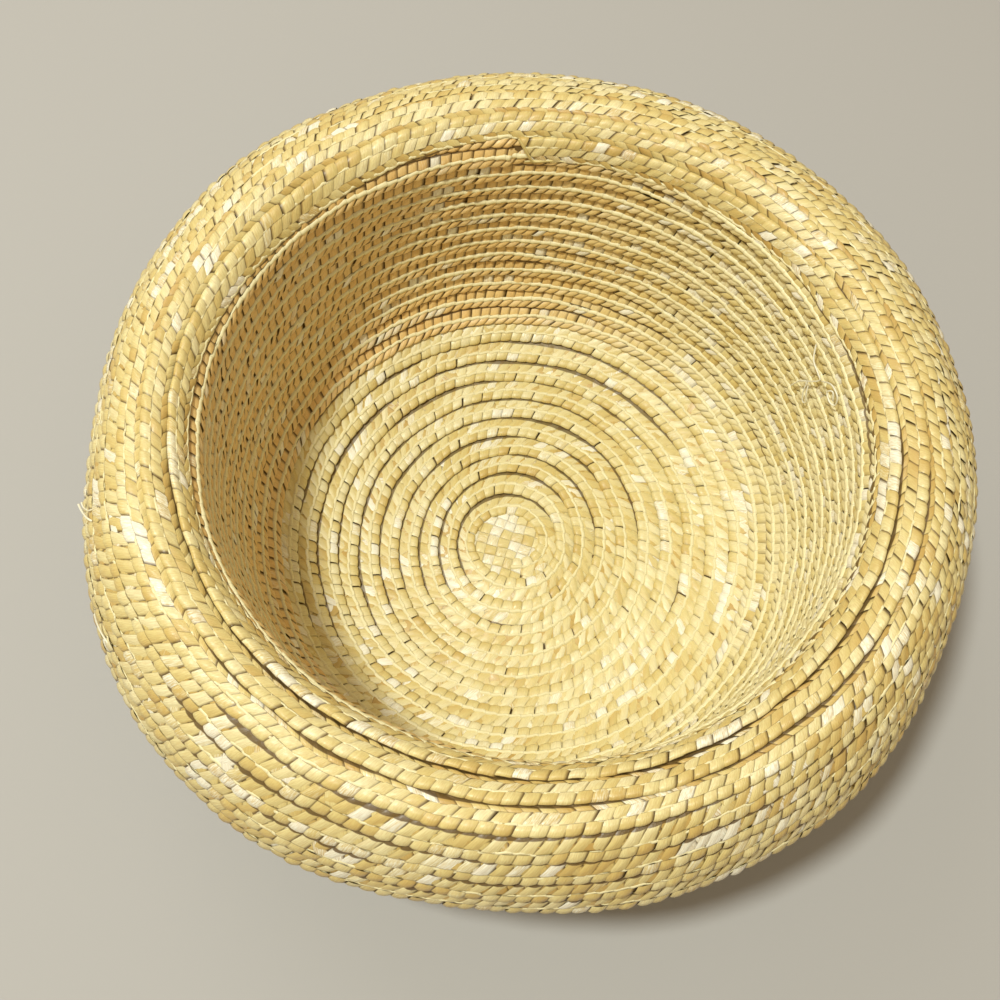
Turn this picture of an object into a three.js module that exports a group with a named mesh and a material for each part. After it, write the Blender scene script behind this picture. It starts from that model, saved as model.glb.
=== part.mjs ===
// Straw hat lying crown down, opening up. Millimetres, +Z up.
//
// The hat is sewn from one flat plait of straw, laid in rows. The crown is one
// run of it, from the middle of the tip out and up the side wall. The brim is
// a second run, sewn inside the last row of the crown, rolling over and down.
// Each piece is a thin wall, carried round the hat from one cross-section.
// The cross-section is followed by its length along the straw, from the middle
// of the tip: the face seen from above is worked out first, and the lower face
// is one wall below it. Each row leans a little, so its raised edge laps the
// row beside it.

import * as THREE from "three";

// Straw
const WALL = 2.1;              // thickness of the sewn straw
const LAP = 0.8;               // step where one row laps the next
const STEP_RUN = 0.7;          // length along the straw taken by that step
const GAP = 0.35;              // clearance between the crown and the brim
const SEAM_WALL = 1.1;         // thickness of each piece inside the seam

// Rows, with pitches measured along the straw
const TIP_ROWS = 11;
const TIP_PITCH = 7.1;
const SIDE_ROWS = 12;
const SIDE_PITCH = 6.3;
const BRIM_ROWS = 8;
const BRIM_PITCH = 7.2;
const SEAM_OVERLAP = 5.5;      // brim laps this much of the last crown row

// Shape of the cross-section: slope of the straw at each length along it.
// 0 is level going outward, 90 is straight up, below 0 goes down again.
const SECTIONS = [
  { place: "middle of the tip", along: 0, slope: 0 },
  { place: "edge of the flat", along: 29, slope: 0 },
  { place: "tip", along: 38, slope: 5 },
  { place: "tip", along: 53, slope: 13 },
  { place: "tip corner, inner", along: 68, slope: 25 },
  { place: "tip corner", along: 84, slope: 50 },
  { place: "tip corner, outer", along: 99, slope: 79 },
  { place: "side", along: 116, slope: 85 },
  { place: "side", along: 135, slope: 87 },
  { place: "head line", along: 150, slope: 90 },
  { place: "roll, inner", along: 158, slope: 57 },
  { place: "top of the roll", along: 171, slope: 0 },
  { place: "roll, outer", along: 180, slope: -36 },
  { place: "brim", along: 194, slope: -57 },
  { place: "edge of the brim", along: 208, slope: -80 },
];
const SECTION_STEP = 0.5;      // step used to add the slopes up
const REST_ROWS = 4;           // rows in the flat patch that it lies on

// The hat is soft, so it is not quite round. Near the middle of the tip the
// rows are oval and off centre; the side leans a little with height.
const TIP_OVAL = -0.06;        // narrower along X, wider along Y
const TIP_SHIFT = { x: -3, y: 1 };
const TIP_FADE = 95;           // length along the straw where both have gone
const LEAN = { x: -0.006, y: 0.046 };      // sideways per height

// The brim rolls further on the side away from +Y, and is a little squared.
const ROLL_START = 178;        // length along the straw where the sides differ
const ROLL_SPAN = 36;
const ROLL_WIDTH = { x: -1.4, y: 1.2 };    // change of radius per span
const ROLL_RISE = { x: 3.4, y: 8.2 };      // change of height per span
const BRIM_SQUARE = -0.017;    // part of the radius, four times round

const SEGMENTS = 44;           // flats round the hat
const CROWN_END = TIP_ROWS * TIP_PITCH + SIDE_ROWS * SIDE_PITCH;
const BRIM_START = CROWN_END - SEAM_OVERLAP;

const radians = (degrees) => (degrees * Math.PI) / 180;
const clamp = (value, low, high) => Math.min(high, Math.max(low, value));
const smooth = (t) => t * t * (3 - 2 * t);

// Slope in radians at a length along the straw
function slopeAt(along) {
  const last = SECTIONS.length - 1;
  if (along >= SECTIONS[last].along) return radians(SECTIONS[last].slope);
  let k = 0;
  while (SECTIONS[k + 1].along <= along) k += 1;
  const from = SECTIONS[k];
  const to = SECTIONS[k + 1];
  const t = (along - from.along) / (to.along - from.along);
  return radians(from.slope + (to.slope - from.slope) * t);
}

// Radius and height of the upper face, found by adding up the slopes
function followSections() {
  const points = [{ radius: 0, height: WALL }];
  const steps = Math.ceil(SECTIONS[SECTIONS.length - 1].along / SECTION_STEP);
  for (let i = 0; i < steps; i += 1) {
    const slope = slopeAt((i + 0.5) * SECTION_STEP);
    points.push({
      radius: points[i].radius + Math.cos(slope) * SECTION_STEP,
      height: points[i].height + Math.sin(slope) * SECTION_STEP,
    });
  }
  return points;
}
const PATH = followSections();

// Point of the round cross-section, with a lift off the upper face
function sectionPoint(along, lift) {
  const place = clamp(along / SECTION_STEP, 0, PATH.length - 1.001);
  const k = Math.floor(place);
  const t = place - k;
  const slope = slopeAt(along);
  const radius = PATH[k].radius + (PATH[k + 1].radius - PATH[k].radius) * t;
  const height = PATH[k].height + (PATH[k + 1].height - PATH[k].height) * t;
  return {
    radius: Math.max(0, radius - Math.sin(slope) * lift),
    height: height + Math.cos(slope) * lift,
  };
}

// Point on the hat: the round section shifted, made oval and rolled unevenly
function hatPoint(along, lift, degrees) {
  const section = sectionPoint(along, lift);
  const angle = radians(degrees);
  const cos = Math.cos(angle);
  const sin = Math.sin(angle);
  const tip = 1 - smooth(clamp(along / TIP_FADE, 0, 1));
  const rolled = clamp((along - ROLL_START) / ROLL_SPAN, 0, 2);
  const oval = 1 + tip * TIP_OVAL * Math.cos(2 * angle);
  const square = 1 + rolled * BRIM_SQUARE * Math.cos(4 * angle);
  const width = rolled * (ROLL_WIDTH.x * cos + ROLL_WIDTH.y * sin);
  const rise = rolled * (ROLL_RISE.x * cos + ROLL_RISE.y * sin);
  const radius = section.radius * oval * square + width;
  return new THREE.Vector3(
    radius * cos + TIP_SHIFT.x * tip + LEAN.x * section.height,
    radius * sin + TIP_SHIFT.y * tip + LEAN.y * section.height,
    section.height + rise,
  );
}

// Rows of a piece: where each starts and ends, along the straw
function rows(start, pitches) {
  const list = [];
  let from = start;
  for (const pitch of pitches) {
    list.push({ from, to: from + pitch });
    from += pitch;
  }
  return list;
}

// One face of a piece as a line of { along, lift }. With the raised edge at
// the start of each row the lift falls along the row, otherwise it climbs.
function ribbedFace(list, base, raisedAtStart) {
  const high = base + LAP / 2;
  const low = base - LAP / 2;
  const line = [];
  for (const row of list) {
    if (raisedAtStart) {
      line.push({ along: row.from + STEP_RUN, lift: high });
      line.push({ along: row.to, lift: low });
    } else {
      line.push({ along: row.from + STEP_RUN, lift: low });
      line.push({ along: row.to, lift: high });
    }
  }
  return line;
}

// Closed wall carried round the hat. The outline runs once round the section,
// starting and ending on the axis when capped, otherwise closed on itself.
function carriedRound(outline, capped) {
  const positions = [];
  const triangles = [];
  const addPoint = (point) => {
    positions.push(point.x, point.y, point.z);
    return positions.length / 3 - 1;
  };
  const rings = [];
  for (const { along, lift } of outline) {
    const ring = [];
    if (along === 0) {
      ring.push(addPoint(hatPoint(0, lift, 0)));
    } else {
      for (let j = 0; j < SEGMENTS; j += 1) {
        ring.push(addPoint(hatPoint(along, lift, (j * 360) / SEGMENTS)));
      }
    }
    rings.push(ring);
  }
  const bands = capped ? rings.length - 1 : rings.length;
  for (let i = 0; i < bands; i += 1) {
    const inner = rings[i];
    const outer = rings[(i + 1) % rings.length];
    for (let j = 0; j < SEGMENTS; j += 1) {
      const next = (j + 1) % SEGMENTS;
      if (inner.length === 1) {
        triangles.push(inner[0], outer[j], outer[next]);
      } else if (outer.length === 1) {
        triangles.push(inner[j], outer[0], inner[next]);
      } else {
        triangles.push(inner[j], outer[j], outer[next]);
        triangles.push(inner[j], outer[next], inner[next]);
      }
    }
  }
  const geometry = new THREE.BufferGeometry();
  geometry.setAttribute("position", new THREE.Float32BufferAttribute(positions, 3));
  geometry.setIndex(triangles);
  geometry.computeVertexNormals();
  return geometry;
}

// Crown: domed tip and side wall. Seen from above each row laps the row before
// it; from below it is the other way round. The last row is thinned on its
// upper face, where the brim is sewn on. The patch below the tip is flat, as
// low as the raised edges round it.
function crownGeometry() {
  const pitches = [
    ...Array(TIP_ROWS).fill(TIP_PITCH),
    ...Array(SIDE_ROWS).fill(SIDE_PITCH),
  ];
  const list = rows(0, pitches);
  const seam = BRIM_START - GAP;
  const upper = ribbedFace(list.slice(0, -1), 0, true);
  upper.push({ along: seam, lift: -LAP / 2 });
  upper.push({ along: seam, lift: -SEAM_WALL - GAP });
  upper.push({ along: CROWN_END, lift: -SEAM_WALL - GAP });
  const lower = ribbedFace(list.slice(REST_ROWS), -WALL, true);
  lower.reverse();
  const outline = [
    { along: 0, lift: LAP / 2 },
    ...upper,
    ...lower,
    { along: REST_ROWS * TIP_PITCH, lift: -WALL - LAP / 2 },
    { along: 0, lift: -WALL - LAP / 2 },
  ];
  return carriedRound(outline, true);
}

// Brim: a first row sewn inside the crown, then rows rolling over and down.
// Seen from above each row is lapped by the row before it.
function brimGeometry() {
  const list = rows(BRIM_START, Array(BRIM_ROWS).fill(BRIM_PITCH));
  const upper = ribbedFace(list, 0, false);
  const clear = CROWN_END + GAP;
  const lower = ribbedFace(list, -WALL, false).filter((point) => point.along > clear + 1);
  lower.reverse();
  const outline = [
    { along: BRIM_START, lift: -LAP / 2 },
    ...upper,
    ...lower,
    { along: clear, lift: -WALL },
    { along: clear, lift: -SEAM_WALL },
    { along: BRIM_START, lift: -SEAM_WALL },
  ];
  return carriedRound(outline, false);
}

function strawMesh(name, geometry, colour) {
  const material = new THREE.MeshStandardMaterial({
    name: `${name}_straw`,
    color: new THREE.Color(colour),
    roughness: 0.62,
    metalness: 0,
  });
  const mesh = new THREE.Mesh(geometry, material);
  mesh.name = name;
  return mesh;
}

const hat = new THREE.Group();
hat.name = "straw_hat";
hat.add(strawMesh("crown", crownGeometry(), "#cfa566"));
hat.add(strawMesh("brim", brimGeometry(), "#dcb679"));

// The middle of the whole hat, brim and all, is put over the origin.
const box = new THREE.Box3().setFromObject(hat);
const middle = box.getCenter(new THREE.Vector3());
for (const mesh of hat.children) mesh.geometry.translate(-middle.x, -middle.y, -box.min.z);

export default hat;
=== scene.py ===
import collections
import math

import bpy
import numpy as np
from mathutils import Matrix


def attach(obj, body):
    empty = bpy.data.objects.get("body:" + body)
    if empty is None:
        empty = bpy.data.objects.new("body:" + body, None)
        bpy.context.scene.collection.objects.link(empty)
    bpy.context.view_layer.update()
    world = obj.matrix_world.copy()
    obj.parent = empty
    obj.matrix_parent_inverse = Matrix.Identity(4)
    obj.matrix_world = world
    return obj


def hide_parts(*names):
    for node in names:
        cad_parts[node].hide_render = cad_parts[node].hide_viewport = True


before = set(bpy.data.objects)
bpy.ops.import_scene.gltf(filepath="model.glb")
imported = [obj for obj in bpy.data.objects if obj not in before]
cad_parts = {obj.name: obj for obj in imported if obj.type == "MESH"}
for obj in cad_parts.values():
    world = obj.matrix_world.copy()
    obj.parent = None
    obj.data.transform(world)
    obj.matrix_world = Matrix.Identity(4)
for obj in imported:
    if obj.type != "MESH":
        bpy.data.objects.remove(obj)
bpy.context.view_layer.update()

# Straw hat sewn from flat plait in two runs, crown and brim, lying crown down.
# Each run winds round the hat in a spiral. Its beads and leaves are small
# sheets, placed by a length along the plait, a part of the way across the
# row, and a lift off the face of the straw.
# Lengths are in millimetres until a mesh is made; the scene is in metres.
MM = 0.001
TURN = 2 * math.pi

# The solid's own sizes
WALL = 2.1
TIP_ROWS, TIP_PITCH = 11, 7.1
SIDE_ROWS, SIDE_PITCH = 12, 6.3
BRIM_ROWS, BRIM_PITCH = 8, 7.2
CROWN_ROWS = TIP_ROWS + SIDE_ROWS
SEAM_OVERLAP = 5.5
TIP_END = TIP_ROWS * TIP_PITCH
CROWN_END = TIP_END + SIDE_ROWS * SIDE_PITCH
BRIM_START = CROWN_END - SEAM_OVERLAP

# Cross-section: length along the straw from the middle of the tip, and the
# slope there in degrees
SECTIONS = np.array([
    (0, 0),        # middle of the tip
    (29, 0),       # edge of the flat
    (38, 5),       # tip
    (53, 13),      # tip
    (68, 25),      # tip corner, inner
    (84, 50),      # tip corner
    (99, 79),      # tip corner, outer
    (116, 85),     # side
    (135, 87),     # side
    (150, 90),     # head line
    (158, 57),     # roll, inner
    (171, 0),      # top of the roll
    (180, -36),    # roll, outer
    (194, -57),    # brim
    (208, -80),    # edge of the brim
])
PATH_STEP = 0.5  # step used to add the slopes up
PATH_SPARE = 6.0  # length added past the edge of the brim
TIP_OVAL = -0.06
TIP_SHIFT = (-3.0, 1.0)
TIP_FADE = 95.0
MIDDLE_OVAL, MIDDLE_FADE = 0.18, 26.0  # the coil starts round a flat knot
LEAN = (-0.006, 0.046)
ROLL_START, ROLL_SPAN = 178.0, 36.0
ROLL_WIDTH = (-1.4, 1.2)
ROLL_RISE = (3.4, 8.2)
BRIM_SQUARE = -0.017
AXIS = (1.52, -4.31, 0.40)  # place of the crown's axis in the row frame

# Slow dents: depth, waves round the hat, radians gained for each millimetre
# along the straw, angle at the start
DENTS = (
    (0.35, 3, 0.045, 0.6),
    (0.28, 5, -0.07, 2.1),
    (0.16, 11, 0.11, 4.0),
)
DENT_START, DENT_SPAN = 30.0, 50.0  # none at the resting patch

# Where the brim's outline stands out or in: angle and spread in degrees, amount
BULGES = np.array([
    (60, 30, -1.0),     # far right
    (149, 13, 1.0),     # far left
    (193, 15, -1.8),    # left
    (249, 14, 2.2),     # near left
    (304, 16, -1.9),    # near right
    (334, 14, -1.9),    # right
])
BULGE_START, BULGE_SPAN = 165.0, 40.0

# Plait
TIP_CELL, SIDE_CELL, BRIM_CELL = 3.8, 3.4, 4.0  # a bead or leaf along the plait
CROWN_LAP, BRIM_LAP = 1.25, 1.15  # step between rows
ROW_SAG = 0.38  # further drop where the next row covers this one
SAG_START, SAG_SPAN = 0.86, 0.16  # parts of the row over which it drops
CROWN_START_TURN = 0.86  # the coil starts round the woven middle
CROWN_LAST_TURN = CROWN_ROWS + 0.78
CROWN_FIRST = math.radians(-54)
BRIM_FIRST = math.radians(103)
BRIM_TUCK = 0.5  # its rows lie this part of a row nearer the tip
BRIM_FIRST_TURN = 0.985  # its face starts one turn out, at its folded start
BRIM_UNDER_TURN = 0.12  # its underside starts under the crown's last row
BRIM_SPLIT_TURN = 4.35  # leaves turn both ways before it, one way after it
SPLIT_OVERLAP = 0.02  # turns by which pieces of one run lap
BRIM_END_CUT = (10.5, 4.7)  # its folded start: length at the raised edge, slant
BRIM_WANDER = 3.2  # how far the brim's rows swing out on the +X side
WANDER_SPREAD = 55.0  # degrees
WANDER_LAST_FULL, WANDER_TURNS = 2.0, 5.0  # the swing fades from there, over so many
END_TAPER, END_TAPER_TURNS = 0.8, 0.45  # its end draws in by this part of a row
END_SINK_TURNS = 0.35  # and sinks by a millimetre
SEAM_DROP = 1.2  # how far the crown's last row lies under the brim
SEAM_EDGE, SEAM_SPAN = 1.0, 4.0  # it drops from so far before the brim's edge
SEAM_RISE = 0.60  # how far the brim's inner edge stands over the crown
FREE_TURN, FREE_SPAN = 1.97, 0.06  # no row covers the brim's rows before it

# Where the brim's inner edge lies further from the tip, or nearer it: angle
# and spread in degrees, amount
INNER_EDGE_SWINGS = (
    (198, 20, 1.6),     # left
    (145, 26, -1.8),    # far left
)
SWING_LAST_TURN, SWING_SPAN = 1.92, 0.07

# Wander of every row along the straw: amount, length of plait from one random
# knot to the next, seed
ROW_WANDERS = (
    (0.8, 17.0, 31),
    (0.5, 6.0, 32),
)

# Painted shade in the gap beside a row, full where the row's raised edge is turned from the light:
# middle angle, reach, and least strength on the other side. In the brim the outer rows get more of
# it.
TIP_GAP_SHADE = (135.0, 75.0, 0.20)
BRIM_GAP_SHADE = (297.0, 58.0, 0.10)
GAP_SHADE_EASE = 30.0  # degrees
OUTER_GAP_SHADE, OUTER_TURN = 0.35, 3.9

# Columns of leaves across a plait, each from and to a part of its width: 0 is
# the raised edge and 1 the covered one. Slant, offset and the widths of a leaf
# at its raised and its covered end are in cells. Over the climb, as a part of
# its length, it rises from under the leaf before; open is how much shorter
# that gets towards the covered end. Tone is added to the straw's. An edge
# curls down and under.
Column = collections.namedtuple(
    "Column", "start stop slant puff width_near width_far climb open tone offset edge")
TIP_COLUMNS = (
    Column(-0.01, 0.47, -0.25, 0.46, 1.04, 1.00, 0.36, 0.0, 0.20, 0.0, True),    # beads
    Column(0.48, 1.12, -0.80, 0.38, 1.16, 0.62, 0.60, 0.8, 0.24, 0.0, False),    # leaves
    Column(0.50, 1.16, 0.45, 0.18, 1.05, 1.25, 0.50, 0.0, -0.10, 0.4, False),    # back leaves
)
SIDE_COLUMNS = (
    Column(-0.02, 0.45, -1.00, 0.46, 1.05, 1.05, 0.45, 0.0, 0.04, 0.0, True),    # strands
    Column(0.50, 1.10, -0.25, 0.44, 1.06, 1.04, 0.40, 0.0, -0.08, 0.3, False),    # beads
)
BRIM_INNER_COLUMNS = (
    Column(-0.01, 0.42, -0.35, 0.58, 1.12, 1.09, 0.42, 0.0, 0.10, 0.0, True),    # beads
    Column(0.40, 0.80, -0.55, 0.50, 1.14, 1.06, 0.55, 0.0, 0.14, 0.0, False),    # leaves
    Column(0.75, 1.14, 0.60, 0.42, 1.14, 1.10, 0.55, 0.0, -0.12, 0.3, False),    # turned leaves
)
BRIM_OUTER_COLUMNS = (
    Column(-0.01, 0.42, -0.35, 0.58, 1.12, 1.09, 0.42, 0.0, 0.04, 0.0, True),    # beads
    Column(0.40, 1.10, -0.90, 0.54, 1.18, 0.84, 0.58, 0.3, 0.10, 0.0, False),    # leaves
    Column(0.44, 1.16, 0.55, 0.20, 1.05, 1.25, 0.50, 0.0, -0.16, 0.4, False),    # back leaves
)

# Leaf
CREASE_DEPTH = 0.16  # how far a leaf's edges sink below its row
LEAF_SHIFT = 0.05  # random spread of its place, in cells
LEAF_SIZE = 0.20  # of its puff, as a part
LEAF_TIP = (0.19, 0.20)  # of its tilt along the plait and across the row
DROP_START, DROP, DROP_EASED = 0.80, 0.85, 0.55  # far end, less after a long climb
ARCH, ARCH_POWER = 0.50, 2.4
CURL_WIDTH = 0.24  # part of an edge leaf's width that curls
CURL_DEPTH, CURL_LIFTED = 1.25, 0.2  # less deep at the leaf's middle
CURL_TUCK = 0.06
EDGE_BULGE, EDGE_BULGE_WIDTH = 0.05, 0.6
GAP_SHADE_BACK = 0.16  # part of a row by which the painted shade in the gap draws back where the row's edge faces the light
FACE_A = (0.0, 0.20, 0.48, 0.76, 0.92, 1.0)  # points along a leaf
FACE_B = (0.0, 0.13, 0.32, 0.70, 1.0)  # and across it
UNDER_A = (0.0, 0.22, 0.78, 1.0)
UNDER_B = (0.0, 0.20, 0.75, 1.0)
PRESSED = 1.2  # straw lower than this over the floor is pressed
PRESS = 0.60  # to this part of its depth

# Straw of each cell: tone and whiteness, from random values and slow drifts
TONE_LOW, TONE_RANDOM, TONE_DRIFT = 0.22, 0.60, 0.38
DRIFT_CELLS, PATCH_CELLS = 9.0, 3.6
WHITE_PATCH, WHITE_RANDOM, WHITE_STALK = 0.70, 0.36, 0.16
STALK_CELLS, STALK_KEPT = 5, 37  # a stalk shows every few, then moves on

# Pale fold between beads and leaves: place across the row, width, rise, how broken it is, how far
# painted shade dims it on the left of the hat, seed
Fold = collections.namedtuple("Fold", "part width rise broken dull seed")
TIP_FOLD = Fold(0.475, 0.15, 0.44, 0.25, 0.0, 11)
SIDE_FOLD = Fold(0.475, 0.19, 0.46, 0.0, 0.50, 8)
BRIM_FOLD = Fold(0.395, 0.085, 0.16, 0.8, 0.0, 6)
BRIM_INNER_EDGE = Fold(1.02, 0.10, 0.22, 0.0, 0.0, 9)
FOLD_POINTS = 6  # points for each cell
FOLD_ACROSS = (-0.55, -0.40, 0.0, 0.40, 0.55)
FOLD_ROUND = (-0.25, 0.75, 1.0, 0.75, -0.25)
FOLD_WAVE, FOLD_WAVE_TWICE, FOLD_DRIFT = 0.022, 0.010, 0.04
FOLD_SUNK = 1.5  # how far it sinks where it is broken, in rises

# Plain weave at the middle of the tip
WEAVE_SQUARE = 3.5
WEAVE_COUNT = 10
WEAVE_REACH = 14.0
WEAVE_TURN = math.radians(-9)
WEAVE_LIFT = -0.2
WEAVE_PUFF = 0.55
WEAVE_LINE = (0.0, 0.12, 0.5, 0.88, 1.0)  # points along and across a square
WEAVE_SUNK, WEAVE_SUNK_START, WEAVE_SUNK_SPAN = 0.45, 6.0, 5.0  # under the coil
WEAVE_SEED = 77

# Inner layer, half-way through the wall
CORE_TOP, CORE_BOTTOM = -1.05, -1.15
CORE_STEP, CORE_SEGMENTS = 3.0, 144

# Round strands, with tone, whiteness, seed and gap
GOLD = (0.6, 0.3, 0.5, 0.0)
PALE = (0.95, 1.0, 0.5, 0.0)
STRAND_END = 0.05  # part of its radius left at each end
STRAND_GUIDE = (0.31, 0.17, 0.93)  # a direction that no strand follows
RIM_PART, RIM_LIFT, RIM_STEP = 0.03, -1.62, 2.0

# Loose bits: points of a soft curve as length along the straw, lift, degrees
THREAD_LOOP = ((124.5, 1.8, 29.5), (131.0, 2.4, 28.0), (135.5, 2.2, 26.0), (141.0, 2.2, 24.0),
               (142.5, 2.6, 25.0), (144.0, 2.8, 27.5), (148.0, 1.8, 29.5))
THREAD_END = ((135.0, 2.2, 26.3), (130.5, 2.6, 25.6), (127.5, 2.2, 24.6), (128.6, 2.0, 24.0),
              (131.5, 2.6, 24.6), (134.5, 2.4, 25.6))
THREAD_KNOT = ((141.5, 2.2, 23.6), (146.8, 2.6, 20.8), (147.5, 2.4, 18.0), (144.0, 2.0, 17.4),
               (142.6, 2.6, 18.6), (143.8, 3.0, 20.4), (146.2, 2.6, 19.4), (143.6, 2.2, 18.2))
STRAW_END_LEFT = ((190.5, 0.2, 203.3), (190.8, 1.5, 202.8), (190.6, 2.8, 202.1), (190.2, 4.0, 201.2))
STRAW_END_FORK = ((190.5, 0.2, 201.7), (190.5, 1.3, 201.9), (190.3, 2.5, 201.6), (190.0, 3.2, 201.0))
STRAW_END_NEAR = ((197.5, 0.4, 217.6), (197.0, 1.2, 216.4), (196.0, 1.9, 215.2), (194.5, 2.4, 214.2))

# Folded start of the brim: length along the plait, part across the row, lift
FOLDED_START = ((10.4, 0.03, 0.3), (11.8, 0.3, 0.5), (13.6, 0.7, 0.4),
                (15.3, 1.03, 0.2), (18.5, 1.03, 0.1), (23.0, 1.02, -0.3))
CURVE_STEPS = 40


# Shape of the hat

def smooth(t):
    """Eases 0 to 1 with level ends: three t squared less two t cubed."""
    t = np.clip(t, 0.0, 1.0)
    return t * t * (3.0 - 2.0 * t)


def away_from(angle, middle):
    """Degrees from the middle angle, the short way round."""
    return (np.degrees(angle) - middle + 180.0) % 360.0 - 180.0


def bell(angle, middle, spread):
    """Bell round an angle: e to minus the square of the distance in spreads."""
    return np.exp(-(away_from(angle, middle) / spread) ** 2)


def even_noise(positions, seed):
    """Smooth random value from 0 to 1 at each position: random knots at whole
    numbers, eased from one to the next."""
    knots = np.random.default_rng(seed).random(int(positions.max()) + 3)
    whole = np.floor(positions).astype(int)
    t = smooth(positions - whole)
    return knots[whole] * (1 - t) + knots[whole + 1] * t


def section_path():
    """Adds the slopes up in short steps: radius grows by the step's cosine and
    height by its sine."""
    along = np.arange(0.0, SECTIONS[-1, 0] + PATH_SPARE, PATH_STEP)
    middle = np.radians(np.interp(along[:-1] + PATH_STEP / 2, SECTIONS[:, 0], SECTIONS[:, 1]))
    radius = np.concatenate([[0.0], np.cumsum(np.cos(middle) * PATH_STEP)])
    height = WALL + np.concatenate([[0.0], np.cumsum(np.sin(middle) * PATH_STEP)])
    return along, radius, height


PATH_ALONG, PATH_RADIUS, PATH_HEIGHT = section_path()


def unevenness(along, angle):
    """Slow dents, as millimetres off the face: sine waves round the hat and
    along the straw, added up, and faded out towards the resting patch."""
    waves = 0.0
    for depth, times_round, gain, start in DENTS:
        waves = waves + depth * np.sin(times_round * angle + gain * along + start)
    return waves * smooth((along - DENT_START) / DENT_SPAN)


def outline_bulge(along, angle):
    """Outline of the brim, given as bulges: each bulge is a bell round its angle, and they grow from
    nothing near the top of the roll to all near the edge."""
    bells = bell(angle[..., None], BULGES[:, 0], BULGES[:, 1]) * BULGES[:, 2]
    return bells.sum(axis=-1) * smooth((along - BULGE_START) / BULGE_SPAN)


def hat_point(along, lift, angle):
    """Place on the hat: the section's point at that length, moved off its face
    by the lift, carried to the angle, then shifted, made oval and rolled
    unevenly, as the solid is."""
    along, lift, angle = np.broadcast_arrays(along, lift, angle)
    lift = lift + unevenness(along, angle)
    slope = np.radians(np.interp(along, SECTIONS[:, 0], SECTIONS[:, 1]))
    radius = np.interp(along, PATH_ALONG, PATH_RADIUS) - np.sin(slope) * lift
    height = np.interp(along, PATH_ALONG, PATH_HEIGHT) + np.cos(slope) * lift
    tip = 1.0 - smooth(along / TIP_FADE)
    rolled = np.clip((along - ROLL_START) / ROLL_SPAN, 0.0, 2.0)
    cos, sin = np.cos(angle), np.sin(angle)
    middle = 1.0 - smooth(along / MIDDLE_FADE)
    oval = tip * TIP_OVAL + middle * MIDDLE_OVAL
    radius = np.maximum(radius, 0.0) * (1.0 + oval * np.cos(2 * angle))
    radius = radius * (1.0 + rolled * BRIM_SQUARE * np.cos(4 * angle))
    radius = radius + rolled * (ROLL_WIDTH[0] * cos + ROLL_WIDTH[1] * sin)
    radius = radius + outline_bulge(along, angle)
    x = radius * cos + TIP_SHIFT[0] * tip + LEAN[0] * height + AXIS[0]
    y = radius * sin + TIP_SHIFT[1] * tip + LEAN[1] * height + AXIS[1]
    z = height + rolled * (ROLL_RISE[0] * cos + ROLL_RISE[1] * sin) + AXIS[2]
    return np.stack([x, y, z], axis=-1)


# Runs of plait, by turns round the hat

def gap_shade_round(angle, middle, reach, least):
    """Strength of the painted shade in the gap beside a row: all of it within a reach of the middle
    angle, in degrees, easing to the least on the other side."""
    away = np.abs(away_from(angle, middle))
    return least + (1.0 - least) * (1.0 - smooth((away - reach) / GAP_SHADE_EASE))


def crown_edge(turn):
    """Row edge nearest the tip: rises evenly over the tip, then up the side."""
    return np.interp(turn, [0, TIP_ROWS, CROWN_ROWS + 1], [0, TIP_END, CROWN_END + SIDE_PITCH])


def crown_pitch(turn):
    """Width of a row: the tip's, easing to the side's where they meet."""
    return TIP_PITCH + (SIDE_PITCH - TIP_PITCH) * smooth(turn - TIP_ROWS + 0.5)


def crown_angle(turn):
    return CROWN_FIRST + TURN * turn


def crown_sink(turn):
    """The crown's last row sinks under the brim's inner edge, wherever that is
    at the same angle."""
    brim_turn = ((BRIM_FIRST - crown_angle(turn)) / TURN) % 1.0
    past = crown_edge(turn) + SIDE_PITCH / 2 - brim_edge(1.0 + brim_turn)
    return SEAM_DROP * smooth((past + SEAM_EDGE) / SEAM_SPAN)


def crown_free(turn):
    """No row of the crown has a free side."""
    return 0.0 * turn


def crown_gap_shade(turn):
    """Painted shade in the gaps of the tip's rows: full on the far left, where their raised edges
    are turned from the light; in those of the side all round.
    """
    tip = gap_shade_round(crown_angle(turn), *TIP_GAP_SHADE)
    return tip + (1.0 - tip) * smooth(turn - TIP_ROWS + 0.5)


def brim_edge(turn):
    """Row edge nearest the tip: rises evenly, less a taper at the end of the
    run, and swings out on one side and a little in the first row."""
    tapered = END_TAPER * smooth((turn - BRIM_ROWS + END_TAPER_TURNS) / END_TAPER_TURNS)
    swing = BRIM_WANDER * bell(brim_angle(turn), 0.0, WANDER_SPREAD)
    swing = swing * (1.0 - smooth((turn - WANDER_LAST_FULL) / WANDER_TURNS))
    return BRIM_START + BRIM_PITCH * (turn - BRIM_TUCK - tapered) + swing + first_row_swing(turn)


def first_row_swing(turn):
    """The brim's inner edge comes and goes over the crown: a bell round each
    angle, in the first row only."""
    swing = sum(amount * bell(brim_angle(turn), middle, spread)
                for middle, spread, amount in INNER_EDGE_SWINGS)
    return swing * (1.0 - smooth((turn - SWING_LAST_TURN) / SWING_SPAN))


def brim_pitch(turn):
    """Width of a row: even, apart from where the inner edge swings."""
    return BRIM_PITCH - first_row_swing(turn)


def brim_angle(turn):
    return BRIM_FIRST - TURN * turn


def brim_sink(turn):
    """The end of the run sinks by a millimetre."""
    return smooth((turn - BRIM_ROWS + END_SINK_TURNS) / END_SINK_TURNS)


def brim_free(turn):
    """The first row's inner side is free; every other row's is covered."""
    return 1.0 - smooth((turn - FREE_TURN) / FREE_SPAN)


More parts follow.
